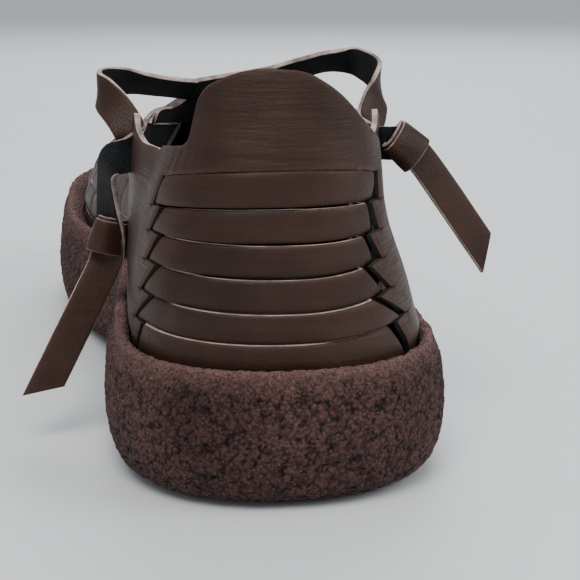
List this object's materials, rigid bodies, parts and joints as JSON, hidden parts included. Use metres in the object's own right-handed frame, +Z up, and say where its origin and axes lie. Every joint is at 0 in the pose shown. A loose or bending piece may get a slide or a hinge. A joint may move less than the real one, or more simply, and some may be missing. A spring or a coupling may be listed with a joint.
{
  "type": "woven leather shoe",
  "caption": "Slip-on shoe with a hollow woven leather upper, a tall heel tab and a tongue, a flat knotted lace, and a thick rounded foam cup sole.",
  "frame": {"origin": "on the floor, under the middle of the sole's bounding box", "axes": "+Y towards the toe, +X towards the outer side of the right foot, +Z up"},
  "size_m": [0.1293, 0.291, 0.1027],
  "materials": {
    "foam": "coarse crumbed foam, matt, dark reddish brown",
    "footbed": "matt black footbed",
    "leather": "smooth dark brown leather, satin, pale cut edges",
    "tongue_leather": "smooth dark brown leather with a black suede lining",
    "lace_leather": "flat strap, smooth brown outside and black suede inside"
  },
  "bodies": {
    "root": {"foam_sole": "foam", "insole": "footbed", "woven_upper": "leather", "tongue": "tongue_leather", "lace_crossing": "lace_leather", "lace_loop_inner": "lace_leather", "lace_loop_outer": "lace_leather", "lace_lead_inner": "lace_leather", "lace_knot_inner": "lace_leather", "lace_knot_outer": "lace_leather", "lace_tail_inner": "lace_leather", "lace_tail_outer": "lace_leather"}
  },
  "joints": []
}
